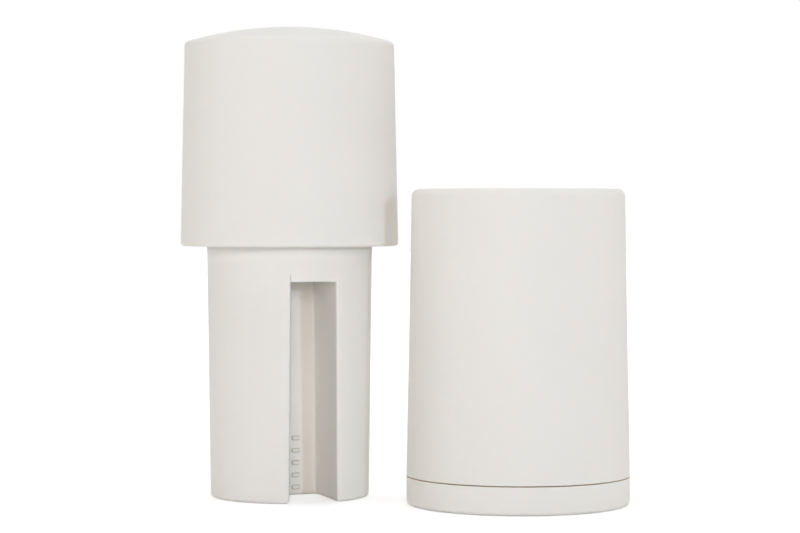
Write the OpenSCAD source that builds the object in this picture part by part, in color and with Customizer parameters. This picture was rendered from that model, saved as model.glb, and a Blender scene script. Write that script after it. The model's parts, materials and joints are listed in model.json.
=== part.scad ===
// Twist spice mill, taken apart as for filling: the twist top stands on its slotted drum beside
// the open body. Millimetres, +Z up. The origin is on the body's axis, on the surface it stands on.

/* [Drum] */
// Drum diameter where it leaves the skirt
drum_top_d = 45.5; // [40:0.5:52]
// How much the drum's radius shrinks from the skirt to its foot
drum_draft = 0.9; // [0.5:0.05:1.5]
// Height of the slot, up from the drum's foot
slot_h = 59.6; // [45:0.1:75]
// Plain stretch of drum between the slot's top and the skirt
slot_top_gap = 9.4; // [6:0.1:14]
// Wall of the drum and round its slot
drum_wall = 2; // [1.4:0.1:2.6]
// Thickness of the drum's foot
drum_floor = 2.4; // [1.6:0.1:4]
// Edge radius of the drum's foot
drum_foot_round = 1; // [0.4:0.1:1.4]
// Plain thickness of the drum's flange above and below its seal
flange_web = 0.5; // [0.4:0.1:1.2]
// Thickness of the disc that closes the drum's head
lid_t = 1.6; // [1:0.1:2.4]
// Ledge that the drum's lid sits on
lid_ledge = 0.8; // [0.5:0.1:1.2]

/* [Slot] */
// Sideways place of the slot's radial wall at half its height, from the drum's axis
slot_wall_x = 0.15; // [0:0.05:1]
// How far in front of the axis the radial wall ends
slot_back_front = 0.5; // [0:0.1:2]
// Width of the slot's back wall, seen from the front
slot_back_w = 6.7; // [5:0.1:9]
// How much further back the back wall's other end lies
slot_back_drop = 3; // [1:0.1:4]
// Angle between the slanted wall and the radial wall
slot_flare = 16.2; // [10:0.1:24]
// Draft of the radial and the slanted wall, which part towards the drum's foot
slot_draft = 0.5; // [0:0.1:1]
// Turn of the slot about the drum's axis, from the front
slot_turn = 2.1; // [0:0.1:20]

/* [Nubs in the slot] */
// Number of nubs up the back wall
nub_count = 5; // [1:1:8]
// Height of the lowest nub's middle above the drum's foot
nub_first = 2.2; // [1.4:0.1:5]
// Distance from nub to nub
nub_pitch = 3.4; // [2.4:0.1:5]
// Width of a nub
nub_w = 2.3; // [1.6:0.1:3.6]
// Height of a nub
nub_h = 1; // [0.9:0.05:2]
// Corner radius of a nub
nub_round = 0.35; // [0.2:0.05:0.45]
// How far a nub stands out of the wall
nub_proud = 0.5; // [0.3:0.05:1]
// Distance of the nubs from the radial wall
nub_edge = 0.45; // [0.1:0.05:1]

/* [Grip cap] */
// Height of the cap, from the skirt's edge to the top of the dome
grip_h = 60.1; // [50:0.1:75]
// How far the skirt's edge overhangs the body's rim
grip_overhang = 1.45; // [1:0.05:2.5]
// How much the cap's radius shrinks from the skirt's edge to the dome
grip_draft = 1.2; // [0.5:0.1:2]
// Radius of the domed top
dome_r = 99; // [80:1:160]
// Edge radius between the dome and the side
grip_round = 1.2; // [0.6:0.1:2]
// Edge radius of the skirt
skirt_round = 0.9; // [0.3:0.1:1]
// Wall of the cap
grip_wall = 2.2; // [1.6:0.1:2.6]
// How far the skirt reaches down over the body's rim
skirt_cover = 0.4; // [0.2:0.1:1]
// Thickness of the cap's inner disc
core_t = 1.9; // [1.4:0.1:3]
// Radius of the screw bosses
boss_r = 2.8; // [2.4:0.1:3.4]
// Thickness of the ribs under the inner disc
core_rib_t = 1.6; // [1:0.1:2.4]
// Depth of the ribs under the inner disc
core_rib_h = 10; // [5:0.5:16]

/* [Slip ring] */
// Height of the slip ring
ring_h = 3.2; // [2.6:0.1:5]
// How far the bead that holds the ring stands in
bead_w = 0.9; // [0.6:0.1:1.2]
// Height of the bead
bead_h = 0.8; // [0.6:0.1:1.2]

/* [Body] */
// Radial room for powder between the blade and the shell, at the rim
powder_gap = 3.05; // [2.6:0.05:5]
// Wall of the body's shell
body_wall = 2; // [1.5:0.1:3]
// How much the body's radius grows from the rim to the base
body_flare = 1.45; // [0.5:0.05:3]
// Edge radius of the rim
rim_round = 2; // [0.8:0.1:2.4]
// Thickness of the lip at the mouth
lip_t = 2.2; // [1.6:0.1:3.5]
// How far the lip stands back from the blade
lip_lead = 0.6; // [0.3:0.1:1]

/* [Blade] */
// Radial gap between the drum at the skirt and the blade
blade_gap = 0.35; // [0.2:0.05:0.8]
// Sheet thickness of the blade
blade_t = 0.4; // [0.3:0.05:0.8]
// Rows of etched openings
tooth_rows = 8; // [4:1:12]
// Etched openings in a row
tooth_columns = 18; // [12:1:24]
// Width of an etched opening
tooth_d = 2; // [1:0.1:2.4]
// Plain margin of the blade above and below its openings
tooth_margin = 2.5; // [1.5:0.1:5]
// Width of the slit where the rolled blade meets
slit_w = 0.3; // [0.2:0.05:0.6]
// Width of the strip that closes the slit
strip_w = 4; // [3:0.1:6]

/* [Blade cage] */
// Height of the collar in the body's mouth
collar_h = 5.5; // [4.5:0.1:9]
// How far the blade reaches into the collar
collar_grip = 3; // [2:0.1:4]
// Number of ribs behind the blade
rib_count = 4; // [3:1:6]
// Width of a rib
rib_w = 5; // [4.4:0.1:7]
// Height of the screw boss at a rib's foot
rib_boss_h = 9; // [8:0.5:14]
// Thickness of the blade's floor
floor_t = 2; // [1.6:0.1:3]
// Thickness of the lugs under the ribs
lug_t = 2.6; // [2.4:0.1:4]
// Number of slits in the floor
floor_slits = 12; // [6:1:18]
// Width of a floor slit
floor_slit_w = 1; // [0.6:0.1:1.6]

/* [Base cap] */
// Height of the base, up to the seam
base_h = 7.5; // [6:0.5:14]
// Thickness of the base's floor
base_floor = 2.2; // [1.6:0.1:3]
// Edge radius of the base's foot
base_round = 1.2; // [0.4:0.1:1.5]
// Height of the spigot that plugs into the body
spigot_h = 4.8; // [4:0.1:10]
// Wall of the spigot
spigot_wall = 1.8; // [1.4:0.1:2.6]
// Gap of the seam between the base and the body
seam_gap = 0.25; // [0.2:0.05:0.8]
// Bevel on both edges of the seam
seam_bevel = 0.2; // [0.1:0.05:0.5]
// Radius in the corner of the cup
cup_round = 2; // [0.5:0.1:3]

/* [Seals and screws] */
// Height of the base's seal ring
seal_h = 1.8; // [1.2:0.1:2.4]
// Depth of the grooves that hold the seal rings
seal_depth = 0.8; // [0.5:0.1:1]
// Height of the flange's seal ring
flange_seal_h = 1.4; // [1:0.1:1.8]
// Number of screws in the flange
flange_screw_count = 3; // [3:1:6]
// Head diameter of the flange's screws
flange_head_d = 3.6; // [3:0.1:3.8]
// Shank diameter of the flange's screws
flange_shank_d = 2.2; // [1.8:0.1:2.6]
// Length of the flange's screws under the head
flange_screw_l = 12; // [8:0.5:18]
// Head diameter of the floor's screws
floor_head_d = 3; // [2.6:0.1:3.1]
// Shank diameter of the floor's screws
floor_shank_d = 1.8; // [1.4:0.1:2]
// Length of the floor's screws under the head
floor_screw_l = 7; // [5:0.5:8]
// Head height of the screws
head_h = 1.3; // [1:0.1:1.6]

/* [Standing place of the twist top] */
// Clear width between the two halves, seen from the front
stand_gap = 2.2; // [1:0.1:20]
// How far the twist top stands behind the body
stand_back = 19.5; // [0:0.5:40]

/* [Hidden] */
$fn = 96;

// Clearances: turning pieces, sliding seal, pieces pushed together, pieces bonded or welded
run_gap = 0.3;
slide_gap = 0.1;
fit_gap = 0.1;
bond_gap = 0.05;
// Room over the drum's foot, over the spigot and over a screw's head, and round the body's rim
foot_gap = 0.4;
spigot_gap = 0.4;
head_gap = 0.1;
rim_clear = 0.3;
// How far a cut runs past the face it opens
past = 1;

// Radii, from the drum outwards
drum_r = drum_top_d / 2;
drum_foot_r = drum_r - drum_draft;
sleeve_ri = drum_r + blade_gap;
sleeve_ro = sleeve_ri + blade_t;
body_top_r = sleeve_ro + powder_gap + body_wall;
base_r = body_top_r + body_flare;
grip_r = body_top_r + grip_overhang;
grip_top_r = grip_r - grip_draft;
lip_r = sleeve_ri + lip_lead;

// Heights of the body, from the surface up
spigot_top = base_h + spigot_h;
floor_z = spigot_top + spigot_gap;
rest_z = floor_z + floor_t;
step_z = floor_z + floor_t / 2;
lug_top = floor_z + lug_t;
drum_h = slot_h + slot_top_gap;
rim_z = rest_z + foot_gap + drum_h + skirt_cover;
body_z = base_h + seam_gap;
collar_top = rim_z - lip_t;
collar_z = collar_top - collar_h;
sleeve_top = collar_z + collar_grip;
function body_r(z) = body_top_r + body_flare * (rim_z - z) / (rim_z - base_h);
function bore_r(z) = body_r(z) - body_wall;

// Base cap and its seal
spigot_r = bore_r(spigot_top) - run_gap;
spigot_bore = spigot_r - spigot_wall;
seal_z = base_h + (spigot_h - seal_h) / 2;
seal_r = bore_r(seal_z + seal_h) - slide_gap;

// Blade cage: ribs, their bosses and the screws from below
rib_in = sleeve_ro + fit_gap;
rib_out = rib_in + powder_gap - run_gap - 2 * fit_gap;
boss_out = sqrt(pow(bore_r(lug_top + rib_boss_h) - run_gap, 2) - pow(rib_w / 2, 2));
rib_boss_x = (rib_in + boss_out) / 2;
rib_turn = 180 / rib_count;
seam_turn = 90;
floor_slit_in = 6;
floor_slit_out = sleeve_ri - 3;
floor_ring_r = sleeve_ro + 0.8;

// Twist top, from the drum's foot up: skirt, slip ring, flange, inner disc, dome
ring_z = drum_h + skirt_cover;
bead_z = ring_z + 0.5;
ring_step_z = bead_z + bead_h + run_gap;
ring_top = ring_z + ring_h;
flange_z = ring_top + run_gap;
flange_seal_z = flange_z + head_h + head_gap + flange_web;
flange_top = flange_seal_z + flange_seal_h + flange_web;
lid_z = flange_top - lid_t;
dome_top = drum_h + grip_h;
dome_z = dome_top - dome_r;
edge_c = [grip_top_r - grip_round,
          dome_z + sqrt(pow(dome_r - grip_round, 2) - pow(grip_top_r - grip_round, 2))];
edge_turn = atan2(edge_c.y - dome_z, edge_c.x);
function skirt_ri(z) = grip_r - grip_wall - grip_draft * (z - drum_h) / (edge_c.y - drum_h);
roof_r = skirt_ri(edge_c.y);
roof_z = dome_z + sqrt(pow(dome_r - grip_wall, 2) - pow(roof_r, 2));
core_top = roof_z - run_gap;
core_z = core_top - core_t;
bead_r = skirt_ri(bead_z) - bead_w;
rebate_r = body_top_r + rim_clear;
skirt_edge = min(skirt_round, 0.9 * (grip_r - rebate_r));
flange_r = skirt_ri(flange_top) - fit_gap;
flange_screw_x = (drum_r + flange_r) / 2;
flange_screw_turn = 90;
lid_r = drum_r - drum_wall + lid_ledge;

// Place of the twist top beside the body
stand_x = base_r + grip_r + stand_gap;

// Finishes
shell_white = [0.91, 0.90, 0.88];
inner_grey = [0.80, 0.79, 0.77];
steel = [0.72, 0.73, 0.75];
seal_grey = [0.45, 0.45, 0.46];

// Points of an arc about c, from angle a to angle b
function arc(c, r, a, b, steps = 8) =
    [for (i = [0:steps]) let (t = a + (b - a) * i / steps) c + r * [cos(t), sin(t)]];

// A ring or dish, from its half section
module turned(section) {
    rotate_extrude() polygon(section);
}

// A ring with a plain rectangular section
module hoop(r_in, r_out, z, h) {
    turned([[r_in, z], [r_out, z], [r_out, z + h], [r_in, z + h]]);
}

// Copies round the axis
module around(count, start) {
    for (i = [0:count - 1]) rotate([0, 0, start + i * 360 / count]) children();
}

// Moves the twist top's pieces to where they stand
module standing() {
    translate([-stand_x, stand_back, 0]) children();
}

// Screw pointing up, with its head's underside at z = 0 and a slot across the head
module screw(head_d, shank_d, length) {
    difference() {
        union() {
            translate([0, 0, -head_h]) cylinder(d = head_d, h = head_h);
            cylinder(d = shank_d, h = length);
        }
        translate([-head_d, -head_d / 12, -head_h - past]) cube([2 * head_d, head_d / 6, past + head_h / 2]);
    }
}

// Hole for such a screw through a plate above z = 0, its head sunk into the underside
module screw_seat(head_d, shank_d, length) {
    translate([0, 0, -past]) cylinder(d = head_d + 2 * fit_gap, h = past + head_h + head_gap);
    cylinder(d = shank_d + 2 * fit_gap, h = length);
}

// Ends of the slot's back wall seen from above, and the normals that point out through its walls
slot_reach = 2 * drum_r;
back_in = [slot_wall_x, -slot_back_front];
back_out = back_in + [slot_back_w, slot_back_drop];
back_dir = (back_out - back_in) / norm(back_out - back_in);
back_normal = [-back_dir.y, back_dir.x];
flare_normal = [cos(slot_flare), sin(slot_flare)];

// Room in front of a wall that faces along turn and passes through a point at half the slot's height
module in_front(point, turn, draft) {
    translate([point.x, point.y, slot_h / 2])
        rotate([0, draft, turn])
        translate([0, -slot_reach, -slot_reach])
        cube(2 * slot_reach);
}

// Room of the slot between its three walls, each moved outwards by w
module slot_room(w) {
    rotate([0, 0, slot_turn]) intersection() {
        in_front(back_in - [w, 0], 0, slot_draft);
        in_front(back_in + w * back_normal, atan2(-back_normal.y, -back_normal.x), 0);
        in_front(back_out + w * flare_normal, 180 + slot_flare, slot_draft);
        translate([-slot_reach, -slot_reach, -past])
            cube([2 * slot_reach, 2 * slot_reach, past + slot_h + w]);
    }
}

// One nub, as a rounded rectangle that stands out of the slot's back wall
module nub(z) {
    inner_w = nub_w - 2 * nub_round;
    inner_h = nub_h - 2 * nub_round;
    centre = back_in + back_dir * (nub_edge + nub_w / 2);
    rotate([0, 0, slot_turn])
        translate([centre.x, centre.y, z])
        rotate([0, 0, atan2(back_dir.y, back_dir.x)])
        rotate([90, 0, 0])
        translate([0, 0, -drum_wall / 2])
        linear_extrude(drum_wall / 2 + nub_proud) {
            square([nub_w, inner_h], center = true);
            square([inner_w, nub_h], center = true);
            for (x = [-1, 1], y = [-1, 1]) translate([x * inner_w / 2, y * inner_h / 2]) circle(nub_round);
        }
}

// Outer shell of the cap: domed top, tapered side, rebate over the rim and bead for the slip ring
module grip_shell() {
    color(shell_white) standing() turned(concat(
        [[rebate_r, drum_h]],
        arc([grip_r - skirt_edge, drum_h + skirt_edge], skirt_edge, -90, 0),
        arc(edge_c, grip_round, 0, edge_turn),
        arc([0, dome_z], dome_r, edge_turn, 90, 24),
        arc([0, dome_z], dome_r - grip_wall, 90, atan2(roof_z - dome_z, roof_r), 24),
        [[skirt_ri(ring_step_z), ring_step_z - run_gap + bead_w / 2],
         [bead_r, ring_step_z - run_gap],
         [bead_r, bead_z],
         [rebate_r, bead_z]]
    ));
}

// Inner moulding of the cap: disc under the dome, ribs and long bosses down to the flange
module grip_core() {
    color(inner_grey) standing() difference() {
        union() {
            translate([0, 0, core_z]) cylinder(r = skirt_ri(core_top) - fit_gap, h = core_t);
            intersection() {
                around(flange_screw_count, flange_screw_turn)
                    translate([flange_screw_x, 0, flange_top])
                    cylinder(r = boss_r, h = core_z + core_t / 2 - flange_top);
                turned([
                    [0, flange_top],
                    [skirt_ri(flange_top) - fit_gap, flange_top],
                    [skirt_ri(core_top) - fit_gap, core_top],
                    [0, core_top]
                ]);
            }
            around(flange_screw_count, flange_screw_turn)
                translate([0, -core_rib_t / 2, core_z - core_rib_h])
                cube([flange_screw_x, core_rib_t, core_rib_h + core_t / 2]);
        }
        around(flange_screw_count, flange_screw_turn)
            translate([flange_screw_x, 0, flange_top - past])
            cylinder(d = flange_shank_d + fit_gap, h = past + flange_screw_l);
    }
}

// Hollow drum: closed foot, wedge slot with nubs, open head with a flange for the cap
module drum() {
    color(shell_white) standing() {
        difference() {
            turned(concat(
                [[0, 0]],
                arc([drum_foot_r - drum_foot_round, drum_foot_round], drum_foot_round, -90, 0),
                [[drum_r, drum_h],
                 [drum_r, flange_z],
                 [flange_r, flange_z],
                 [flange_r, flange_seal_z],
                 [flange_r - seal_depth, flange_seal_z],
                 [flange_r - seal_depth, flange_seal_z + flange_seal_h],
                 [flange_r, flange_seal_z + flange_seal_h],
                 [flange_r, flange_top],
                 [0, flange_top]]
            ));
            difference() {
                turned([
                    [0, drum_floor],
                    [drum_foot_r - drum_wall, drum_floor],
                    [drum_r - drum_wall, drum_h],
                    [drum_r - drum_wall, lid_z],
                    [lid_r, lid_z],
                    [lid_r, flange_top + past],
                    [0, flange_top + past]
                ]);
                slot_room(drum_wall);
            }
            slot_room(0);
            around(flange_screw_count, flange_screw_turn)
                translate([flange_screw_x, 0, flange_z])
                screw_seat(flange_head_d, flange_shank_d, flange_screw_l);
        }
        for (i = [0:nub_count - 1]) nub(nub_first + i * nub_pitch);
    }
}

// Disc that closes the drum's open head
module drum_lid() {
    color(inner_grey) standing() translate([0, 0, lid_z]) cylinder(r = lid_r - fit_gap, h = lid_t);
}

// Silicone ring in the edge of the drum's flange
module flange_seal() {
    color(seal_grey) standing()
        hoop(flange_r - seal_depth + bond_gap, flange_r + bond_gap / 2, flange_seal_z, flange_seal_h);
}

// Screws from below, through the flange into the cap's bosses
module flange_screws() {
    color(steel) standing() around(flange_screw_count, flange_screw_turn)
        translate([flange_screw_x, 0, flange_z + head_h + head_gap])
        screw(flange_head_d, flange_shank_d, flange_screw_l - head_h);
}

// Captive bearing ring: its shoulder runs between the bead and the flange
module slip_ring() {
    ring_out = bead_r - run_gap;
    shoulder_r = skirt_ri(ring_top) - run_gap;
    color(inner_grey) standing() turned([
        [drum_r + run_gap, ring_z],
        [ring_out, ring_z],
        [ring_out, ring_step_z],
        [shoulder_r, ring_step_z],
        [shoulder_r, ring_top],
        [drum_r + run_gap, ring_top]
    ]);
}

// Outer tube of the body, with a lip at its mouth that stops the blade cage
module body_shell() {
    color(shell_white) turned(concat(
        [[bore_r(body_z), body_z],
         [body_r(body_z) - seam_bevel, body_z],
         [body_r(body_z + seam_bevel), body_z + seam_bevel]],
        arc([body_top_r - rim_round, rim_z - rim_round], rim_round, 0, 90),
        [[lip_r, rim_z],
         [lip_r, collar_top],
         [bore_r(collar_top), collar_top]]
    ));
}

// Collar that holds the blade's upper edge, with ribs down to the floor's lugs
module blade_cage() {
    color(inner_grey) difference() {
        union() {
            turned([
                [sleeve_ro + bond_gap, collar_z],
                [bore_r(collar_top) - fit_gap, collar_z],
                [bore_r(collar_top) - fit_gap, collar_top],
                [sleeve_ri, collar_top],
                [sleeve_ri, sleeve_top + bond_gap],
                [sleeve_ro + bond_gap, sleeve_top + bond_gap]
            ]);
            around(rib_count, rib_turn) {
                translate([rib_in, -rib_w / 2, lug_top])
                    cube([rib_out - rib_in, rib_w, collar_z + collar_h / 2 - lug_top]);
                translate([rib_in, -rib_w / 2, lug_top]) cube([boss_out - rib_in, rib_w, rib_boss_h]);
            }
        }
        around(rib_count, rib_turn)
            translate([rib_boss_x, 0, lug_top - past])
            cylinder(d = floor_shank_d + fit_gap, h = past + floor_screw_l);
    }
}

// Rolled sheet with staggered rows of etched openings, slit where its edges meet
module blade_sleeve() {
    first_z = rest_z + tooth_margin;
    row_h = (collar_z - tooth_margin - first_z) / tooth_rows;
    column_turn = 360 / tooth_columns;
    color(steel) difference() {
        hoop(sleeve_ri, sleeve_ro, step_z, sleeve_top - step_z);
        rotate([0, 0, seam_turn])
            translate([0, -slit_w / 2, step_z - past])
            cube([sleeve_ro + past, slit_w, sleeve_top - step_z + 2 * past]);
        for (row = [0:tooth_rows - 1], column = [0:tooth_columns - 1])
            rotate([0, 0, seam_turn + (column + 0.25 + 0.5 * (row % 2)) * column_turn])
            translate([sleeve_ri - past, 0, first_z + (row + 0.5) * row_h])
            rotate([0, 90, 0])
            cylinder(d = tooth_d, h = blade_t + 2 * past);
    }
}

// Steel strip welded behind the blade's slit
module seam_strip() {
    strip_r = sleeve_ro + bond_gap;
    strip_turn = strip_w / strip_r * 180 / PI;
    color(steel) rotate([0, 0, seam_turn - strip_turn / 2])
        rotate_extrude(angle = strip_turn)
        translate([strip_r, rest_z]) square([blade_t, collar_z - bond_gap - rest_z]);
}

// Slitted floor of the blade, with lugs under the ribs
module blade_floor() {
    color(inner_grey) difference() {
        union() {
            turned([
                [0, floor_z],
                [floor_ring_r, floor_z],
                [floor_ring_r, step_z],
                [sleeve_ri - bond_gap, step_z],
                [sleeve_ri - bond_gap, rest_z],
                [0, rest_z]
            ]);
            around(rib_count, rib_turn) {
                translate([sleeve_ri - past, -rib_w / 2, floor_z])
                    cube([boss_out - sleeve_ri + past, rib_w, step_z - floor_z]);
                translate([rib_in, -rib_w / 2, floor_z]) cube([boss_out - rib_in, rib_w, lug_t]);
            }
        }
        around(floor_slits, 0)
            translate([floor_slit_in, -floor_slit_w / 2, floor_z - past])
            cube([floor_slit_out - floor_slit_in, floor_slit_w, floor_t + 2 * past]);
        around(rib_count, rib_turn)
            translate([rib_boss_x, 0, floor_z])
            screw_seat(floor_head_d, floor_shank_d, floor_screw_l);
    }
}

// Screws from below, through the floor's lugs into the ribs
module floor_screws() {
    color(steel) around(rib_count, rib_turn)
        translate([rib_boss_x, 0, floor_z + head_h + head_gap])
        screw(floor_head_d, floor_shank_d, floor_screw_l - head_h);
}

// Low cup with a grooved spigot that plugs into the body
module base_cap() {
    lead = spigot_wall / 4;
    color(shell_white) turned(concat(
        [[0, 0]],
        arc([base_r - base_round, base_round], base_round, -90, 0),
        [[base_r, base_h - seam_bevel],
         [base_r - seam_bevel, base_h],
         [spigot_r, base_h],
         [spigot_r, seal_z],
         [spigot_r - seal_depth, seal_z],
         [spigot_r - seal_depth, seal_z + seal_h],
         [spigot_r, seal_z + seal_h],
         [spigot_r, spigot_top - lead],
         [spigot_r - lead, spigot_top],
         [spigot_bore, spigot_top]],
        arc([spigot_bore - cup_round, base_floor + cup_round], cup_round, 0, -90),
        [[0, base_floor]]
    ));
}

// Silicone ring in the spigot's groove
module base_seal() {
    color(seal_grey) hoop(spigot_r - seal_depth + bond_gap, seal_r, seal_z, seal_h);
}

grip_shell();
grip_core();
drum();
drum_lid();
flange_seal();
flange_screws();
slip_ring();
body_shell();
blade_cage();
blade_sleeve();
seam_strip();
blade_floor();
floor_screws();
base_cap();
base_seal();
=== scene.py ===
import json
import math

import bmesh
import bpy
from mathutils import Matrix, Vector


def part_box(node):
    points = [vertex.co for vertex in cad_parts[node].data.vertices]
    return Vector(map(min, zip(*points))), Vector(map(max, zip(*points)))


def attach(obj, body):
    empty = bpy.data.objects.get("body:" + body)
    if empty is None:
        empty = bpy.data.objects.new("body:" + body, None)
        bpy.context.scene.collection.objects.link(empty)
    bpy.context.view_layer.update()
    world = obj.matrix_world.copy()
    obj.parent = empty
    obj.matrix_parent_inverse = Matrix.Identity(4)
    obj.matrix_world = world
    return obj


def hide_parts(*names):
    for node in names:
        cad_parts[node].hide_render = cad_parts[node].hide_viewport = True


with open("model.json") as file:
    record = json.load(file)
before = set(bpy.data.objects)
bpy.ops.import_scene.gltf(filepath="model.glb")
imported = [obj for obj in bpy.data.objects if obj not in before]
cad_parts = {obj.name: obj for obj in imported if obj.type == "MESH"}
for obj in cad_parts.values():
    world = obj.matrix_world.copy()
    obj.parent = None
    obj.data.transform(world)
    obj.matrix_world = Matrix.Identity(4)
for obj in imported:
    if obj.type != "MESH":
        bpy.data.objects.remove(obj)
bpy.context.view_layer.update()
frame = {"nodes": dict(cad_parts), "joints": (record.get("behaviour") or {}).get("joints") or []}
mm = 0.001


# Base cap: a low cup of warm white plastic that closes the mill's foot and keeps the ground spice.
# It is moulded in one with the grooved spigot that plugs into the body, and every edge that a hand
# meets is rounded.
def rounded(corners, steps=8):
    """Outline through corners (x, y, radius); each corner with a radius becomes an arc."""
    outline = []
    for i, (x, y, radius) in enumerate(corners):
        here = Vector((x, y))
        if radius == 0:
            outline.append((x, y))
            continue
        back = (Vector(corners[i - 1][:2]) - here).normalized()
        on = (Vector(corners[(i + 1) % len(corners)][:2]) - here).normalized()
        half = back.angle(on) / 2
        centre = here + (back + on).normalized() * (radius / math.sin(half))
        start = here + back * (radius / math.tan(half)) - centre
        end = here + on * (radius / math.tan(half)) - centre
        first = math.atan2(start.y, start.x)
        turn = math.atan2(end.y, end.x) - first
        turn = (turn + math.pi) % (2 * math.pi) - math.pi
        for k in range(steps + 1):
            angle = first + turn * k / steps
            outline.append((centre.x + radius * math.cos(angle), centre.y + radius * math.sin(angle)))
    return outline


def smooth_piece(name, bm, sharp_turn=math.radians(40), weld=0.0005 * mm):
    """Object from a bmesh: smooth faces, with creases only where faces meet at a hard angle."""
    bmesh.ops.remove_doubles(bm, verts=bm.verts, dist=weld)
    bmesh.ops.recalc_face_normals(bm, faces=bm.faces)
    for face in bm.faces:
        face.smooth = True
    for edge in bm.edges:
        edge.smooth = len(edge.link_faces) == 2 and edge.calc_face_angle() < sharp_turn
    mesh = bpy.data.meshes.new(name)
    bm.to_mesh(mesh)
    bm.free()
    piece = bpy.data.objects.new(name, mesh)
    bpy.context.scene.collection.objects.link(piece)
    return piece


def turned(name, section, axis, segments=160):
    """Closed ring or dish: the half section (radius, height) swept round an upright axis."""
    on_axis = 0.0001 * mm
    bm = bmesh.new()
    rings = []
    for radius, height in section:
        if radius < on_axis:
            rings.append([bm.verts.new((axis.x, axis.y, height))])
            continue
        rings.append([
            bm.verts.new((
                axis.x + radius * math.cos(2 * math.pi * k / segments),
                axis.y + radius * math.sin(2 * math.pi * k / segments),
                height,
            ))
            for k in range(segments)
        ])
    for low, high in zip(rings, rings[1:] + rings[:1]):
        if len(low) == 1 and len(high) == 1:
            continue
        for k in range(segments):
            n = (k + 1) % segments
            corners = [low[k % len(low)], low[n % len(low)], high[n % len(high)], high[k % len(high)]]
            bm.faces.new(list(dict.fromkeys(corners)))
    return smooth_piece(name, bm)


def paint(red, green, blue):
    """Linear colour from the 0 to 255 values seen on a screen, by the sRGB curve."""
    def linear(c):
        c = c / 255
        return c / 12.92 if c <= 0.04045 else ((c + 0.055) / 1.055) ** 2.4
    return (linear(red), linear(green), linear(blue), 1.0)


def moulded_plastic(name, colour, roughness=0.64, grain_depth=1.0, painted_shade_tint=(0.66, 0.62, 0.57)):
    """Matte plastic from a spark-eroded tool, a little translucent: grain, clouding, worn edges, painted
    shade in joints.
    """
    cloud_dark = 0.985
    cloud_light = 1.012
    gloss_spread = 0.06
    edge_polish = 0.12
    grain_h = 0.02 * mm
    material = bpy.data.materials.new(name)
    material.use_nodes = True
    nodes, links = material.node_tree.nodes, material.node_tree.links
    shader = nodes["Principled BSDF"]
    shader.inputs["IOR"].default_value = 1.47
    shader.inputs["Subsurface Weight"].default_value = 0.25
    shader.inputs["Subsurface Radius"].default_value = (1.0, 0.8, 0.6)
    shader.inputs["Subsurface Scale"].default_value = 1.0 * mm
    place = nodes.new("ShaderNodeTexCoord")

    cloud = nodes.new("ShaderNodeTexNoise")
    cloud.inputs["Scale"].default_value = 38
    cloud.inputs["Detail"].default_value = 3
    links.new(place.outputs["Object"], cloud.inputs["Vector"])
    tone = nodes.new("ShaderNodeMix")
    tone.data_type = "RGBA"
    tone.inputs["A"].default_value = [c * cloud_dark for c in colour[:3]] + [1]
    tone.inputs["B"].default_value = [min(1, c * cloud_light) for c in colour[:3]] + [1]
    links.new(cloud.outputs["Fac"], tone.inputs["Factor"])
    # Painted shade: the attribute read here makes the colour darker and warmer in joints, grooves and round
    # the nubs, where shade falls.
    joint = nodes.new("ShaderNodeAttribute")
    joint.attribute_name = "painted_shade"
    painted_shade_mix = nodes.new("ShaderNodeMix")
    painted_shade_mix.data_type = "RGBA"
    painted_shade_mix.inputs["B"].default_value = [c * d for c, d in zip(colour, painted_shade_tint)] + [1]
    links.new(joint.outputs["Fac"], painted_shade_mix.inputs["Factor"])
    links.new(tone.outputs["Result"], painted_shade_mix.inputs["A"])
    links.new(painted_shade_mix.outputs["Result"], shader.inputs["Base Color"])

    marks = nodes.new("ShaderNodeTexNoise")
    marks.inputs["Scale"].default_value = 120
    marks.inputs["Detail"].default_value = 6
    marks.inputs["Distortion"].default_value = 1.5
    links.new(place.outputs["Object"], marks.inputs["Vector"])
    gloss = nodes.new("ShaderNodeMapRange")
    gloss.inputs["From Min"].default_value = 0.3
    gloss.inputs["From Max"].default_value = 0.7
    gloss.inputs["To Min"].default_value = roughness - gloss_spread
    gloss.inputs["To Max"].default_value = roughness + gloss_spread
    links.new(marks.outputs["Fac"], gloss.inputs["Value"])
    form = nodes.new("ShaderNodeNewGeometry")
    polish = nodes.new("ShaderNodeMapRange")
    polish.inputs["From Min"].default_value = 0.51
    polish.inputs["From Max"].default_value = 0.58
    polish.inputs["To Min"].default_value = 0
    polish.inputs["To Max"].default_value = edge_polish
    links.new(form.outputs["Pointiness"], polish.inputs["Value"])
    worn = nodes.new("ShaderNodeMath")
    worn.operation = "SUBTRACT"
    links.new(gloss.outputs["Result"], worn.inputs[0])
    links.new(polish.outputs["Result"], worn.inputs[1])
    links.new(worn.outputs[0], shader.inputs["Roughness"])

    grain = nodes.new("ShaderNodeTexNoise")
    grain.inputs["Scale"].default_value = 4200
    grain.inputs["Detail"].default_value = 2
    links.new(place.outputs["Object"], grain.inputs["Vector"])
    bump = nodes.new("ShaderNodeBump")
    bump.inputs["Strength"].default_value = 0.25
    bump.inputs["Distance"].default_value = grain_h * grain_depth
    links.new(grain.outputs["Fac"], bump.inputs["Height"])
    links.new(bump.outputs["Normal"], shader.inputs["Normal"])
    return material


def paint_joint_shade(piece, low, high):
    """Mark the points of a piece between two heights, where painted shade darkens the joint."""
    painted_shade = piece.data.attributes.new("painted_shade", "FLOAT", "POINT")
    for vert in piece.data.vertices:
        painted_shade.data[vert.index].value = 1.0 if low <= vert.co.z <= high else 0.0


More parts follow.
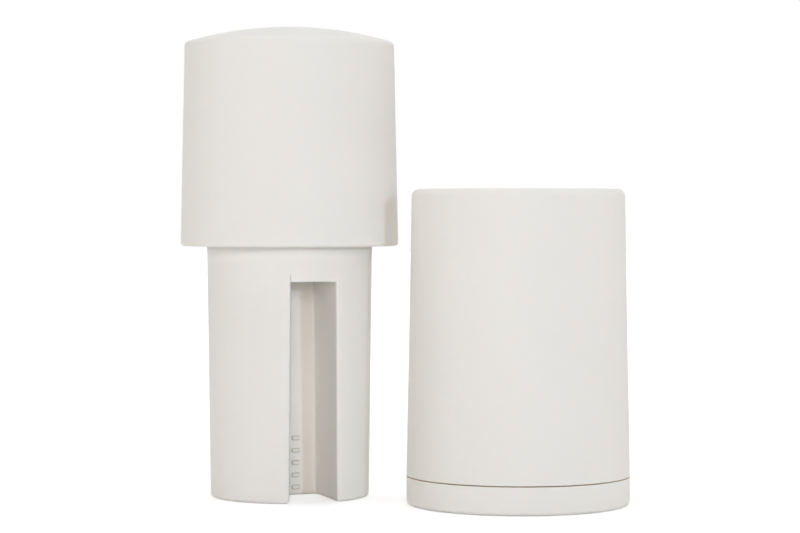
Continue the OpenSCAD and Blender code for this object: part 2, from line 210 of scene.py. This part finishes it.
warm_white = paint(241, 238, 232)
# Tint of the painted shade along the seam between the base cap and the body: darker and warmer.
painted_seam_shade = (0.96, 0.86, 0.74)
base_low, base_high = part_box("base_cap")
seal_low, seal_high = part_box("base_seal")
mill_axis = (base_low + base_high) / 2
base_r = (base_high.x - base_low.x) / 2
base_h = 7.5 * mm
base_floor = 2.2 * mm
foot_round = 1.2 * mm
cup_round = 2.0 * mm
seam_round = 0.1 * mm
seal_grip = 0.2 * mm
seal_depth = 0.8 * mm
spigot_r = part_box("base_seal")[1].x - seal_grip
spigot_wall = 1.8 * mm
spigot_top = base_high.z
spigot_fillet = 0.1 * mm
spigot_lead = 0.45 * mm
spigot_edge = 0.4 * mm
base_section = rounded([
    (0, 0, 0),
    (base_r, 0, foot_round),
    (base_r, base_h, seam_round),
    (spigot_r, base_h, spigot_fillet),
    (spigot_r, seal_low.z, 0),
    (spigot_r - seal_depth, seal_low.z, 0),
    (spigot_r - seal_depth, seal_high.z, 0),
    (spigot_r, seal_high.z, 0),
    (spigot_r, spigot_top, spigot_lead),
    (spigot_r - spigot_wall, spigot_top, spigot_edge),
    (spigot_r - spigot_wall, base_floor, cup_round),
    (0, base_floor, 0),
])
base_cap = turned("base_cap_cup", base_section, mill_axis)
# Painted shade along the cap's edge at the seam.
paint_joint_shade(base_cap, base_h - seam_round / 2, base_h + seam_round)
base_cap.data.materials.append(moulded_plastic("base_plastic", warm_white, painted_shade_tint=painted_seam_shade))
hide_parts("base_cap")
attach(base_cap, "base")


# Base seal: a soft silicone ring stretched into the spigot's groove. Its two round beads grip the
# body's bore and hold the push-fit cap on.
def soft_silicone(name, colour):
    """Matte silicone: slightly translucent, with a fine dusty bloom."""
    bloom_shade = 0.9
    material = bpy.data.materials.new(name)
    material.use_nodes = True
    nodes, links = material.node_tree.nodes, material.node_tree.links
    shader = nodes["Principled BSDF"]
    shader.inputs["Subsurface Weight"].default_value = 0.15
    shader.inputs["Subsurface Radius"].default_value = (1.0, 0.85, 0.75)
    shader.inputs["Subsurface Scale"].default_value = 0.6 * mm
    shader.inputs["Sheen Weight"].default_value = 0.1
    place = nodes.new("ShaderNodeTexCoord")
    bloom = nodes.new("ShaderNodeTexNoise")
    bloom.inputs["Scale"].default_value = 700
    bloom.inputs["Detail"].default_value = 4
    links.new(place.outputs["Object"], bloom.inputs["Vector"])
    tone = nodes.new("ShaderNodeMix")
    tone.data_type = "RGBA"
    tone.inputs["A"].default_value = [c * bloom_shade for c in colour[:3]] + [1]
    tone.inputs["B"].default_value = colour
    links.new(bloom.outputs["Fac"], tone.inputs["Factor"])
    links.new(tone.outputs["Result"], shader.inputs["Base Color"])
    gloss = nodes.new("ShaderNodeMapRange")
    gloss.inputs["To Min"].default_value = 0.5
    gloss.inputs["To Max"].default_value = 0.7
    links.new(bloom.outputs["Fac"], gloss.inputs["Value"])
    links.new(gloss.outputs["Result"], shader.inputs["Roughness"])
    bump = nodes.new("ShaderNodeBump")
    bump.inputs["Strength"].default_value = 0.2
    bump.inputs["Distance"].default_value = 0.01 * mm
    links.new(bloom.outputs["Fac"], bump.inputs["Height"])
    links.new(bump.outputs["Normal"], shader.inputs["Normal"])
    return material


silicone_grey = paint(196, 195, 192)
seal_clear = 0.05 * mm
seal_in = spigot_r - seal_depth + seal_clear
seal_out = seal_high.x
seal_mid = (seal_low.z + seal_high.z) / 2
seal_edge = 0.15 * mm
seal_bead = 0.3 * mm
valley_depth = 0.35 * mm
valley_round = 0.05 * mm
valley_w = 0.02 * mm
seal_section = rounded([
    (seal_in, seal_low.z, seal_edge),
    (seal_out, seal_low.z, seal_bead),
    (seal_out, seal_mid, seal_bead),
    (seal_out - valley_depth, seal_mid, valley_round),
    (seal_out, seal_mid + valley_w, seal_bead),
    (seal_out, seal_high.z, seal_bead),
    (seal_in, seal_high.z, seal_edge),
], steps=5)
base_seal = turned("base_seal_ring", seal_section, mill_axis)
base_seal.data.materials.append(soft_silicone("seal_silicone", silicone_grey))
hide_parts("base_seal")
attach(base_seal, "base")


# Body shell: the plain tapered tube that the other hand holds, in the same warm white plastic.
# Its mouth is turned in to a lip that stops the blade cage, and its foot goes over the base cap's
# spigot.
body_low, body_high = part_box("body_shell")
rim_z = body_high.z
body_top_r = 28.55 * mm
body_wall = 2 * mm
lip_r = 23.7 * mm
lip_t = 2.2 * mm
lip_round = 1.3 * mm
rim_round = 2.0 * mm
bore_edge = 0.2 * mm


def body_r(z):
    """Outer radius of the tapered shell at a height."""
    return body_top_r + (base_r - body_top_r) * (rim_z - z) / (rim_z - base_h)


body_section = rounded([
    (body_r(body_low.z) - body_wall, body_low.z, bore_edge),
    (body_r(body_low.z), body_low.z, seam_round),
    (body_top_r, rim_z, rim_round),
    (lip_r, rim_z, lip_round),
    (lip_r, rim_z - lip_t, 0),
    (body_r(rim_z - lip_t) - body_wall, rim_z - lip_t, 0),
])
body_shell = turned("body_tube", body_section, mill_axis)
# Painted shade along the body's edge at the seam.
paint_joint_shade(body_shell, body_low.z, body_low.z + seam_round / 2)
body_shell.data.materials.append(moulded_plastic("body_plastic", warm_white, painted_shade_tint=painted_seam_shade))
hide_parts("body_shell")
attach(body_shell, "mill_body")


# Blade sleeve: stainless sheet, etched with rows of openings whose one edge is pressed in to a
# cutting lip, then rolled into a tube and held edge to edge by the strip behind it.
def etched_steel(name, colour, roughness):
    """Stainless sheet: fine rolling lines round the tube, in its tone, its gloss and its relief."""
    line_shade = 0.88
    line_smooth = 0.08
    line_rough = 0.1
    material = bpy.data.materials.new(name)
    material.use_nodes = True
    nodes, links = material.node_tree.nodes, material.node_tree.links
    shader = nodes["Principled BSDF"]
    shader.inputs["Metallic"].default_value = 1.0
    place = nodes.new("ShaderNodeTexCoord")
    stretch = nodes.new("ShaderNodeMapping")
    stretch.inputs["Scale"].default_value = (60, 60, 5200)
    links.new(place.outputs["Object"], stretch.inputs["Vector"])
    lines = nodes.new("ShaderNodeTexNoise")
    lines.inputs["Scale"].default_value = 1
    lines.inputs["Detail"].default_value = 3
    links.new(stretch.outputs["Vector"], lines.inputs["Vector"])
    tone = nodes.new("ShaderNodeMix")
    tone.data_type = "RGBA"
    tone.inputs["A"].default_value = [c * line_shade for c in colour[:3]] + [1]
    tone.inputs["B"].default_value = colour
    links.new(lines.outputs["Fac"], tone.inputs["Factor"])
    links.new(tone.outputs["Result"], shader.inputs["Base Color"])
    gloss = nodes.new("ShaderNodeMapRange")
    gloss.inputs["To Min"].default_value = roughness - line_smooth
    gloss.inputs["To Max"].default_value = roughness + line_rough
    links.new(lines.outputs["Fac"], gloss.inputs["Value"])
    links.new(gloss.outputs["Result"], shader.inputs["Roughness"])
    bump = nodes.new("ShaderNodeBump")
    bump.inputs["Strength"].default_value = 0.3
    bump.inputs["Distance"].default_value = 0.004 * mm
    links.new(lines.outputs["Fac"], bump.inputs["Height"])
    links.new(bump.outputs["Normal"], shader.inputs["Normal"])
    return material


blade_grey = paint(216, 217, 219)
sleeve_low, sleeve_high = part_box("blade_sleeve")
sheet_t = 0.4 * mm
sleeve_r = sleeve_high.x - sheet_t
sheet_margin = 3.2 * mm
slit_half_turn = math.radians(0.37)
slit_turn = math.radians(90)
tooth_columns = 40
tooth_rows = 18
# Half sizes of an opening and its sideways stagger, as shares of a column or a row
tooth_half_w = 0.29
tooth_half_h = 0.33
tooth_stagger = 0.12
# Rings round an opening: their size as a share of it, and their share of the lip's rise
lip_rise = 0.26 * mm
lip_rings = ((1.35, 0.35), (1.0, 1.0))
cell_rim = [(-1, -1), (0, -1), (1, -1), (1, 0), (1, 1), (0, 1), (-1, 1), (-1, 0)]


def sheet_point(across, up, rise=0.0):
    """Point of the rolled sheet: across counts columns, up counts rows, rise is towards the axis."""
    angle = slit_turn + slit_half_turn + across / tooth_columns * (2 * math.pi - 2 * slit_half_turn)
    first = sleeve_low.z + sheet_margin
    height = first + up / tooth_rows * (sleeve_high.z - sheet_margin - first)
    reach = sleeve_r - rise
    return (mill_axis.x + reach * math.cos(angle), mill_axis.y + reach * math.sin(angle), height)


sheet = bmesh.new()
for column in range(tooth_columns):
    for row in range(tooth_rows):
        shift = tooth_stagger if row % 2 else -tooth_stagger
        mid_x, mid_y = column + 0.5, row + 0.5
        rim = [sheet.verts.new(sheet_point(mid_x + x / 2, mid_y + y / 2)) for x, y in cell_rim]
        loops = [rim]
        for size, rise in lip_rings:
            loop = []
            for x, y in cell_rim:
                turn = math.atan2(y, x)
                out_x = size * tooth_half_w * math.cos(turn)
                out_y = size * tooth_half_h * math.sin(turn)
                lift = lip_rise * rise * max(0.0, math.cos(turn))
                loop.append(sheet.verts.new(sheet_point(mid_x + shift + out_x, mid_y + out_y, lift)))
            loops.append(loop)
        for outer, inner in zip(loops, loops[1:]):
            for k in range(len(cell_rim)):
                n = (k + 1) % len(cell_rim)
                sheet.faces.new((outer[k], outer[n], inner[n], inner[k]))
    for edge_row, edge_z in ((0, sleeve_low.z), (tooth_rows, sleeve_high.z)):
        for half in (0, 0.5):
            near = [sheet_point(column + half + x, edge_row) for x in (0, 0.5)]
            sheet.faces.new([sheet.verts.new(p) for p in (
                near[0], near[1], (near[1][0], near[1][1], edge_z), (near[0][0], near[0][1], edge_z))])
blade_sleeve = smooth_piece("etched_blade", sheet)
thickness = blade_sleeve.modifiers.new("sheet thickness", "SOLIDIFY")
thickness.thickness = sheet_t
thickness.offset = 0
blade_sleeve.data.materials.append(etched_steel("blade_stainless", blade_grey, roughness=0.34))
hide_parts("blade_sleeve")
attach(blade_sleeve, "mill_body")


# Seam strip and screws: plain stainless pieces that show only when the mill is taken down. The
# strip is welded behind the blade's slit; the screws hold the blade floor and the drum's flange.
def finish_node(node, material):
    """Give a solid that is carried over from the frame its finish."""
    materials = frame["nodes"][node].data.materials
    materials.clear()
    materials.append(material)


strip_grey = paint(188, 189, 192)
screw_grey = paint(180, 181, 184)
finish_node("seam_strip", etched_steel("strip_stainless", strip_grey, roughness=0.35))
finish_node("floor_screws", etched_steel("floor_screw_stainless", screw_grey, roughness=0.28))
finish_node("flange_screws", etched_steel("flange_screw_stainless", screw_grey, roughness=0.28))


# Blade cage and blade floor: the collar, ribs and slitted floor that hold the blade off the shell,
# moulded in plain white plastic with a smoother tool finish, screwed together from below.
inner_white = paint(222, 220, 215)


def inner_plastic(name):
    """Plain white plastic of the mouldings inside, smoother than the outer shells."""
    return moulded_plastic(name, inner_white, roughness=0.42, grain_depth=0.5)


for node in ("blade_cage", "blade_floor"):
    finish_node(node, inner_plastic(node + "_plastic"))


# Drum: the hollow, slightly tapered drum that carries the spice round inside the blade. The slot
# has one radial and one slanted wall; its corners and its mouth's edges are rounded by the tool,
# whose joint leaves a fine sunk line above the radial edge, darkened with painted shade. Five nubs
# low on the back wall are moulded on, each ringed at its root with painted shade.
top_axis = Vector(next(j["pos_m"] for j in frame["joints"] if j["name"] == "top_twist"))
skirt_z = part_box("grip_shell")[0].z
drum_low, drum_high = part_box("drum")
drum_r = 22.75 * mm
drum_foot_r = 21.85 * mm
drum_foot_round = 1.0 * mm
slot_h = 59.6 * mm
slot_turn = math.radians(2.1)
slot_flare = math.radians(16.2)
slot_draft = math.radians(0.5)
slot_back_in = Vector((0.15, -0.5)) * mm
slot_back_out = Vector((6.85, 2.5)) * mm
back_along = (slot_back_out - slot_back_in).normalized()
mouth_round = 0.65 * mm
mouth_least = 0.05 * mm
inner_round = 0.4 * mm
back_round = 0.7 * mm
arc_steps = 150
mouth_steps = 12
edge_steps = 6
flange_t = 3.8 * mm
flange_z = drum_high.z - flange_t
flange_r = (drum_high.x - drum_low.x) / 2
lid_low, lid_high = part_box("drum_lid")
lid_clear = 0.1 * mm
lid_seat_r = (lid_high.x - lid_low.x) / 2 + lid_clear
drum_bore = 20.75 * mm


def drum_radius(z):
    """Outer radius of the tapered drum at a height."""
    return drum_foot_r + (drum_r - drum_foot_r) * min(1, z / skirt_z)


def drum_outline(z, inset):
    """Plan of the slotted drum at a height, its material drawn back by inset: (outside, slot)."""
    reach = drum_radius(z) - inset
    lean = math.tan(slot_draft) * (min(z, slot_h) - slot_h / 2)
    side_inset = inset - lean
    edge = max(mouth_round - inset, mouth_least)
    behind = Vector((-back_along.y, back_along.x))
    slant = Vector((math.sin(slot_flare), -math.cos(slot_flare)))
    beyond = Vector((math.cos(slot_flare), math.sin(slot_flare)))

    left_x = slot_back_in.x - side_inset
    left_c = Vector((left_x - edge, -math.sqrt((reach - edge) ** 2 - (left_x - edge) ** 2)))
    start = slot_back_out + beyond * (side_inset + edge)
    run = -start.dot(slant) + math.sqrt(
        start.dot(slant) ** 2 - start.length_squared + (reach - edge) ** 2)
    right_c = start + slant * run

    first = math.atan2(right_c.y, right_c.x)
    last = math.atan2(left_c.y, left_c.x) + 2 * math.pi
    outside = [
        Vector((math.cos(a), math.sin(a))) * reach
        for a in (first + (last - first) * k / arc_steps for k in range(arc_steps + 1))
    ]
    slot = []
    for k in range(1, edge_steps + 1):
        angle = (last - 2 * math.pi) * (1 - k / edge_steps)
        slot.append(left_c + Vector((math.cos(angle), math.sin(angle))) * edge)
    corner_in = slot_back_in + behind * inset
    corner_in = corner_in + back_along * ((left_x - corner_in.x) / back_along.x)
    wall = slot_back_out + beyond * side_inset
    gap = (wall - corner_in).cross(slant) / back_along.cross(slant)
    corner_out = corner_in + back_along * gap
    left_end = slot[-1]
    right_end = right_c - beyond * edge
    bends = rounded([
        (left_end.x, left_end.y, 0),
        (corner_in.x, corner_in.y, inner_round + inset),
        (corner_out.x, corner_out.y, back_round + inset),
        (right_end.x, right_end.y, 0),
    ])
    slot += [Vector(p) for p in bends[1:-1]]
    facing = math.atan2(-beyond.y, -beyond.x)
    for k in range(edge_steps):
        angle = facing + (first - facing) * k / edge_steps
        slot.append(right_c + Vector((math.cos(angle), math.sin(angle))) * edge)
    return outside, slot


def drum_point(p, z):
    """Plan point of the drum, turned with its slot and moved to where the twist top stands."""
    c, s = math.cos(slot_turn), math.sin(slot_turn)
    return (top_axis.x + p.x * c - p.y * s, top_axis.y + p.x * s + p.y * c, z)


drum_bm = bmesh.new()
# Painted shade in the drum's tool line and round the roots of the nubs.
painted_shade_layer = drum_bm.verts.layers.float.new("painted_shade")


def bridge(low, high):
    """Band of four-sided faces between two loops with the same number of points."""
    for k in range(len(low)):
        n = (k + 1) % len(low)
        drum_bm.faces.new((low[k], low[n], high[n], high[k]))


foot_steps = 6
wall_steps = 10
levels = []
for k in range(foot_steps + 1):
    turn = math.pi / 2 * k / foot_steps
    levels.append((drum_foot_round * (1 - math.cos(turn)), drum_foot_round * (1 - math.sin(turn))))
for k in range(1, wall_steps + 1):
    levels.append((drum_foot_round + (slot_h - drum_foot_round) * k / wall_steps, 0))
loops = []
for z, inset in levels:
    outside, slot = drum_outline(z, inset)
    loops.append([drum_bm.verts.new(drum_point(p, z)) for p in outside + slot])
drum_bm.faces.new(loops[0])
for low, high in zip(loops, loops[1:]):
    bridge(low, high)

outside, _ = drum_outline(slot_h, 0)
slot_path = loops[-1][arc_steps + 1:]
left_turn = math.atan2(outside[-1].y, outside[-1].x)
right_turn = math.atan2(outside[0].y, outside[0].x)
brow_round = 0.45 * mm
brow_steps = 5
# Share of the mouth's width over which the rounding of its brow fades out at each end
brow_fade = 0.25
line_w = 0.3 * mm
line_depth = 0.15 * mm
line_h = 1.7 * mm
line_turn = line_w / drum_r
line_start = left_turn + mouth_round / drum_r - line_turn / 2
line_end = line_start + line_turn
# The line's middle is the second point over the mouth
line_spot = 1
mouth_turns = [line_start, line_start + line_turn / 2] + [
    line_end + (right_turn - line_end) * k / mouth_steps for k in range(mouth_steps)
]


def ring_over_slot(z, back, depth):
    """Full ring at a height above the slot: its mouth eased back, its tool line sunk by depth."""
    points, _ = drum_outline(z, 0)
    for i, angle in enumerate(mouth_turns):
        share = (angle - left_turn) / (right_turn - left_turn)
        sunk = back * min(1, min(share, 1 - share) / brow_fade)
        if i == line_spot:
            sunk = max(sunk, depth)
        points.append(Vector((math.cos(angle), math.sin(angle))) * (drum_radius(z) - sunk))
    ring = [drum_bm.verts.new(drum_point(p, z)) for p in points]
    # Painted shade in the tool line, as strong as the line is deep.
    ring[arc_steps + 1 + line_spot][painted_shade_layer] = depth / line_depth
    return ring


loop = ring_over_slot(slot_h, brow_round, line_depth)
drum_bm.faces.new(slot_path + [loop[0]] + loop[:arc_steps:-1] + [loop[arc_steps]])
above_slot = []
for k in range(1, brow_steps + 1):
    turn = math.pi / 2 * k / brow_steps
    up = brow_round * (1 - math.cos(turn))
    back = brow_round * (1 - math.sin(turn))
    above_slot.append((slot_h + up, back, line_depth))
above_slot += [(slot_h + line_h, 0, line_depth), (slot_h + line_h + line_w / 2, 0, 0)]
for z, back, depth in above_slot:
    above = ring_over_slot(z, back, depth)
    bridge(loop, above)
    loop = above
head_section = [
    (drum_r, skirt_z), (drum_r, flange_z), (flange_r, flange_z), (flange_r, drum_high.z),
    (lid_seat_r, drum_high.z), (lid_seat_r, lid_low.z), (drum_bore, lid_low.z),
]
head_angles = [math.atan2(v.co.y - top_axis.y, v.co.x - top_axis.x) for v in loop]
for radius, z in head_section:
    above = [
        drum_bm.verts.new((top_axis.x + radius * math.cos(a), top_axis.y + radius * math.sin(a), z))
        for a in head_angles
    ]
    bridge(loop, above)
    loop = above
drum_bm.faces.new(loop)

nub_count = 5
nub_first = 2.2 * mm
nub_pitch = 3.4 * mm
nub_w = 2.2 * mm
nub_h = 0.9 * mm
nub_proud = 0.5 * mm
nub_root = 0.6 * mm
nub_edge = 0.5 * mm
nub_round = 0.35 * mm
nub_flare = 0.18 * mm
back_front = Vector((back_along.y, -back_along.x))
nub_middle = slot_back_in + back_along * (nub_edge + nub_w / 2)
# Sections of a nub from its root outwards: how proud, how far drawn in, how much painted shade
nub_steps = [
    (-nub_root, -nub_flare, 0.9),
    (0.02 * mm, -nub_flare, 0.9),
    (0.08 * mm, -0.05 * mm, 1.0),
    (0.36 * mm, 0.02 * mm, 0.5),
    (nub_proud - 0.04 * mm, 0.08 * mm, 0.0),
    (nub_proud, 0.24 * mm, 0.0),
]
# Each nub's root is ringed with painted shade.
for i in range(nub_count):
    below = None
    for proud, shrink, painted_shade in nub_steps:
        half_w, half_h = nub_w / 2 - shrink, nub_h / 2 - shrink
        corner = nub_round - shrink / 2
        plan = rounded([
            (-half_w, -half_h, corner), (half_w, -half_h, corner),
            (half_w, half_h, corner), (-half_w, half_h, corner)], steps=4)
        loop = []
        for x, up in plan:
            p = nub_middle + back_along * x + back_front * proud
            loop.append(drum_bm.verts.new(drum_point(p, nub_first + i * nub_pitch + up)))
            loop[-1][painted_shade_layer] = painted_shade
        if below:
            bridge(below, loop)
        else:
            drum_bm.faces.new(loop)
        below = loop
    drum_bm.faces.new(below)

drum = smooth_piece("slotted_drum", drum_bm)
drum.data.materials.append(moulded_plastic("drum_plastic", warm_white))
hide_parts("drum")
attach(drum, "twist_top")


# Slip ring: the captive bearing ring under the cap, in smooth acetal. It stands still on the
# body's rim while the cap and the drum turn on it.
acetal_white = paint(226, 225, 221)
finish_node("slip_ring", moulded_plastic("slip_ring_acetal", acetal_white, roughness=0.34, grain_depth=0.3))


# Pieces closed up inside the cap: the drum's lid, the flange's seal and the inner moulding with the
# screw bosses. None of them shows until the cap is unscrewed.
for node in ("drum_lid", "grip_core"):
    finish_node(node, inner_plastic(node + "_plastic"))
finish_node("flange_seal", soft_silicone("flange_seal_silicone", silicone_grey))


# Grip shell: the tall domed cap that the hand turns, one smooth moulding in warm white plastic.
# Its skirt is stepped inside to cover the body's rim, with a bead that keeps the slip ring in.
grip_low, grip_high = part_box("grip_shell")
grip_r = (grip_high.x - grip_low.x) / 2
grip_taper = 1.2 * mm
grip_top_r = grip_r - grip_taper
grip_wall = 2.2 * mm
grip_round = 1.2 * mm
dome_r = 99 * mm
dome_z = grip_high.z - dome_r
skirt_bore = grip_r - grip_wall
skirt_round = 0.9 * mm
skirt_edge = 0.1 * mm
rim_clear = 0.3 * mm
rebate_r = body_top_r + rim_clear
rebate_h = 0.9 * mm
bead_h = 0.8 * mm
bead_w = 0.9 * mm


def dome_arc(radius, edge_r, steps=30):
    """Half section of the dome from its edge to the apex."""
    edge_turn = math.acos(edge_r / radius)
    turns = [edge_turn + (math.pi / 2 - edge_turn) * k / steps for k in range(steps)]
    arc = [(radius * math.cos(t), dome_z + radius * math.sin(t), 0) for t in turns]
    return arc + [(0, dome_z + radius, 0)]


outer_dome = dome_arc(dome_r, grip_top_r)
outer_dome[0] = outer_dome[0][:2] + (grip_round,)
inner_dome = dome_arc(dome_r - grip_wall, grip_top_r - grip_wall)[::-1]
grip_section = rounded([
    (rebate_r, skirt_z, skirt_edge),
    (grip_r, skirt_z, skirt_round),
    *outer_dome,
    *inner_dome,
    (skirt_bore, skirt_z + rebate_h + bead_h + bead_w / 2, 0),
    (skirt_bore - bead_w, skirt_z + rebate_h + bead_h, skirt_edge),
    (skirt_bore - bead_w, skirt_z + rebate_h, skirt_edge),
    (rebate_r, skirt_z + rebate_h, 0),
])
grip_shell = turned("grip_cap", grip_section, top_axis)
grip_shell.data.materials.append(moulded_plastic("grip_plastic", warm_white))
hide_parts("grip_shell")
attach(grip_shell, "twist_top")


# Floor: a plain white studio floor that runs out of sight. It takes the mill's soft shadow and is
# lifted to white for the camera.
def seen_directly(nodes, links):
    """Socket that is 1 for what the camera sees, also in a reflection or through a clear piece."""
    ray = nodes.new("ShaderNodeLightPath")
    direct = nodes.new("ShaderNodeMath")
    direct.operation = "MAXIMUM"
    links.new(ray.outputs["Is Camera Ray"], direct.inputs[0])
    links.new(ray.outputs["Is Glossy Ray"], direct.inputs[1])
    through = nodes.new("ShaderNodeMath")
    through.operation = "MAXIMUM"
    links.new(direct.outputs[0], through.inputs[0])
    links.new(ray.outputs["Is Transmission Ray"], through.inputs[1])
    return through.outputs[0]


floor_size = 4.0
floor_drop = 0.05 * mm
floor_grey = (0.85, 0.85, 0.85, 1)
# Light that the camera sees added to the floor, near the mill and far from it, and those distances
floor_lift_near = 0.42
floor_lift_far = 0.9
lift_from = 0.12
lift_to = 0.8
floor_bm = bmesh.new()
bmesh.ops.create_grid(floor_bm, x_segments=4, y_segments=4, size=floor_size)
floor = smooth_piece("studio_floor", floor_bm)
floor.location.z = -floor_drop
floor_white = bpy.data.materials.new("floor_white")
floor_white.use_nodes = True
nodes, links = floor_white.node_tree.nodes, floor_white.node_tree.links
nodes.remove(nodes["Principled BSDF"])
matte = nodes.new("ShaderNodeBsdfDiffuse")
matte.inputs["Color"].default_value = floor_grey
glow = nodes.new("ShaderNodeEmission")
place = nodes.new("ShaderNodeTexCoord")
away = nodes.new("ShaderNodeVectorMath")
away.operation = "LENGTH"
links.new(place.outputs["Object"], away.inputs[0])
lift = nodes.new("ShaderNodeMapRange")
lift.inputs["From Min"].default_value = lift_from
lift.inputs["From Max"].default_value = lift_to
lift.inputs["To Min"].default_value = floor_lift_near
lift.inputs["To Max"].default_value = floor_lift_far
links.new(away.outputs["Value"], lift.inputs["Value"])
seen_lift = nodes.new("ShaderNodeMath")
seen_lift.operation = "MULTIPLY"
links.new(lift.outputs["Result"], seen_lift.inputs[0])
links.new(seen_directly(nodes, links), seen_lift.inputs[1])
links.new(seen_lift.outputs[0], glow.inputs["Strength"])
both = nodes.new("ShaderNodeAddShader")
links.new(matte.outputs[0], both.inputs[0])
links.new(glow.outputs[0], both.inputs[1])
links.new(both.outputs[0], nodes["Material Output"].inputs["Surface"])
floor.data.materials.append(floor_white)


# Light: a studio tent that glows behind the mill and is dark in front, with a small cool key lamp
# low to the front right, whose edge of shade falls inside the slot. Soft lamps in front, above and
# at both sides fill the rest to a plain level.
tent_strength = 0.77
tent_front = (0.02, 0.02, 0.02, 1)
tent_back = (1.0, 1.0, 1.0, 1)
tent_blend = 0.6
scene = bpy.context.scene
scene.view_settings.view_transform = "Standard"
world = bpy.data.worlds.new("studio_tent")
scene.world = world
world.use_nodes = True
nodes, links = world.node_tree.nodes, world.node_tree.links
tent = nodes["Background"]
tent.inputs["Strength"].default_value = tent_strength
direction = nodes.new("ShaderNodeTexCoord")
parts = nodes.new("ShaderNodeSeparateXYZ")
links.new(direction.outputs["Generated"], parts.inputs["Vector"])
depth = nodes.new("ShaderNodeMapRange")
depth.inputs["From Min"].default_value = -tent_blend
depth.inputs["From Max"].default_value = tent_blend
links.new(parts.outputs["Y"], depth.inputs["Value"])
cloth = nodes.new("ShaderNodeMix")
cloth.data_type = "RGBA"
cloth.inputs["A"].default_value = tent_front
cloth.inputs["B"].default_value = tent_back
links.new(depth.outputs["Result"], cloth.inputs["Factor"])
links.new(cloth.outputs["Result"], tent.inputs["Color"])
white = nodes.new("ShaderNodeBackground")
white.inputs["Color"].default_value = (1, 1, 1, 1)
white.inputs["Strength"].default_value = 1.0
choose = nodes.new("ShaderNodeMixShader")
links.new(seen_directly(nodes, links), choose.inputs["Fac"])
links.new(tent.outputs[0], choose.inputs[1])
links.new(white.outputs[0], choose.inputs[2])
links.new(choose.outputs[0], nodes["World Output"].inputs["Surface"])

lamp_target = Vector((-0.05, 0.0, 0.05))


def soft_lamp(name, place, size, share, colour):
    """Square soft lamp aimed at the mill; share is its light there, where 1 shows a colour as written."""
    lamp = bpy.data.lights.new(name, "AREA")
    lamp.size = size
    lamp.color = colour
    away = Vector(place) - lamp_target
    lamp.energy = share * math.pi ** 2 * away.length_squared
    lamp_object = bpy.data.objects.new(name, lamp)
    lamp_object.location = place
    lamp_object.rotation_euler = away.to_track_quat("Z", "Y").to_euler()
    scene.collection.objects.link(lamp_object)


soft_lamp("key_front_right", (0.98, -1.82, 0.36), size=0.07, share=0.18, colour=(0.62, 0.84, 1.0))
soft_lamp("front_softbox", (0.0, -1.6, 0.36), size=0.45, share=0.28, colour=(1.0, 0.88, 0.83))
soft_lamp("high_front", (0.0, -1.2, 1.1), size=0.6, share=0.1, colour=(0.9, 0.9, 0.95))
soft_lamp("side_left", (-1.2, -0.3, 0.25), size=0.6, share=0.18, colour=(0.98, 0.99, 0.93))
soft_lamp("side_right", (1.15, 0.22, 0.25), size=0.6, share=0.11, colour=(1.0, 0.76, 0.56))
soft_lamp("overhead", (0.0, 0.0, 1.6), size=1.0, share=0.32, colour=(0.9, 0.95, 1.0))


# Camera: a long lens a little below the body's rim, so that the rim looks almost straight and the
# seam and the feet bend down. The focal length, the horizon and the body's axis are in pixels of the
# photograph's frame.
photo_w = 800
photo_h = 533
focal_px = 2533
horizon_px = 209.5
camera_height = 79 * mm
camera_back = 680 * mm
body_axis_px = 518.2
camera_data = bpy.data.cameras.new("photo_camera")
camera_data.sensor_width = 36
camera_data.lens = camera_data.sensor_width * focal_px / photo_w
camera = bpy.data.objects.new("photo_camera", camera_data)
camera.location = (
    mill_axis.x - (body_axis_px - photo_w / 2) / focal_px * camera_back,
    mill_axis.y - camera_back,
    camera_height,
)
pitch = math.atan((photo_h / 2 - horizon_px) / focal_px)
camera.rotation_euler = (math.pi / 2 - pitch, 0, 0)
scene.collection.objects.link(camera)
scene.camera = camera
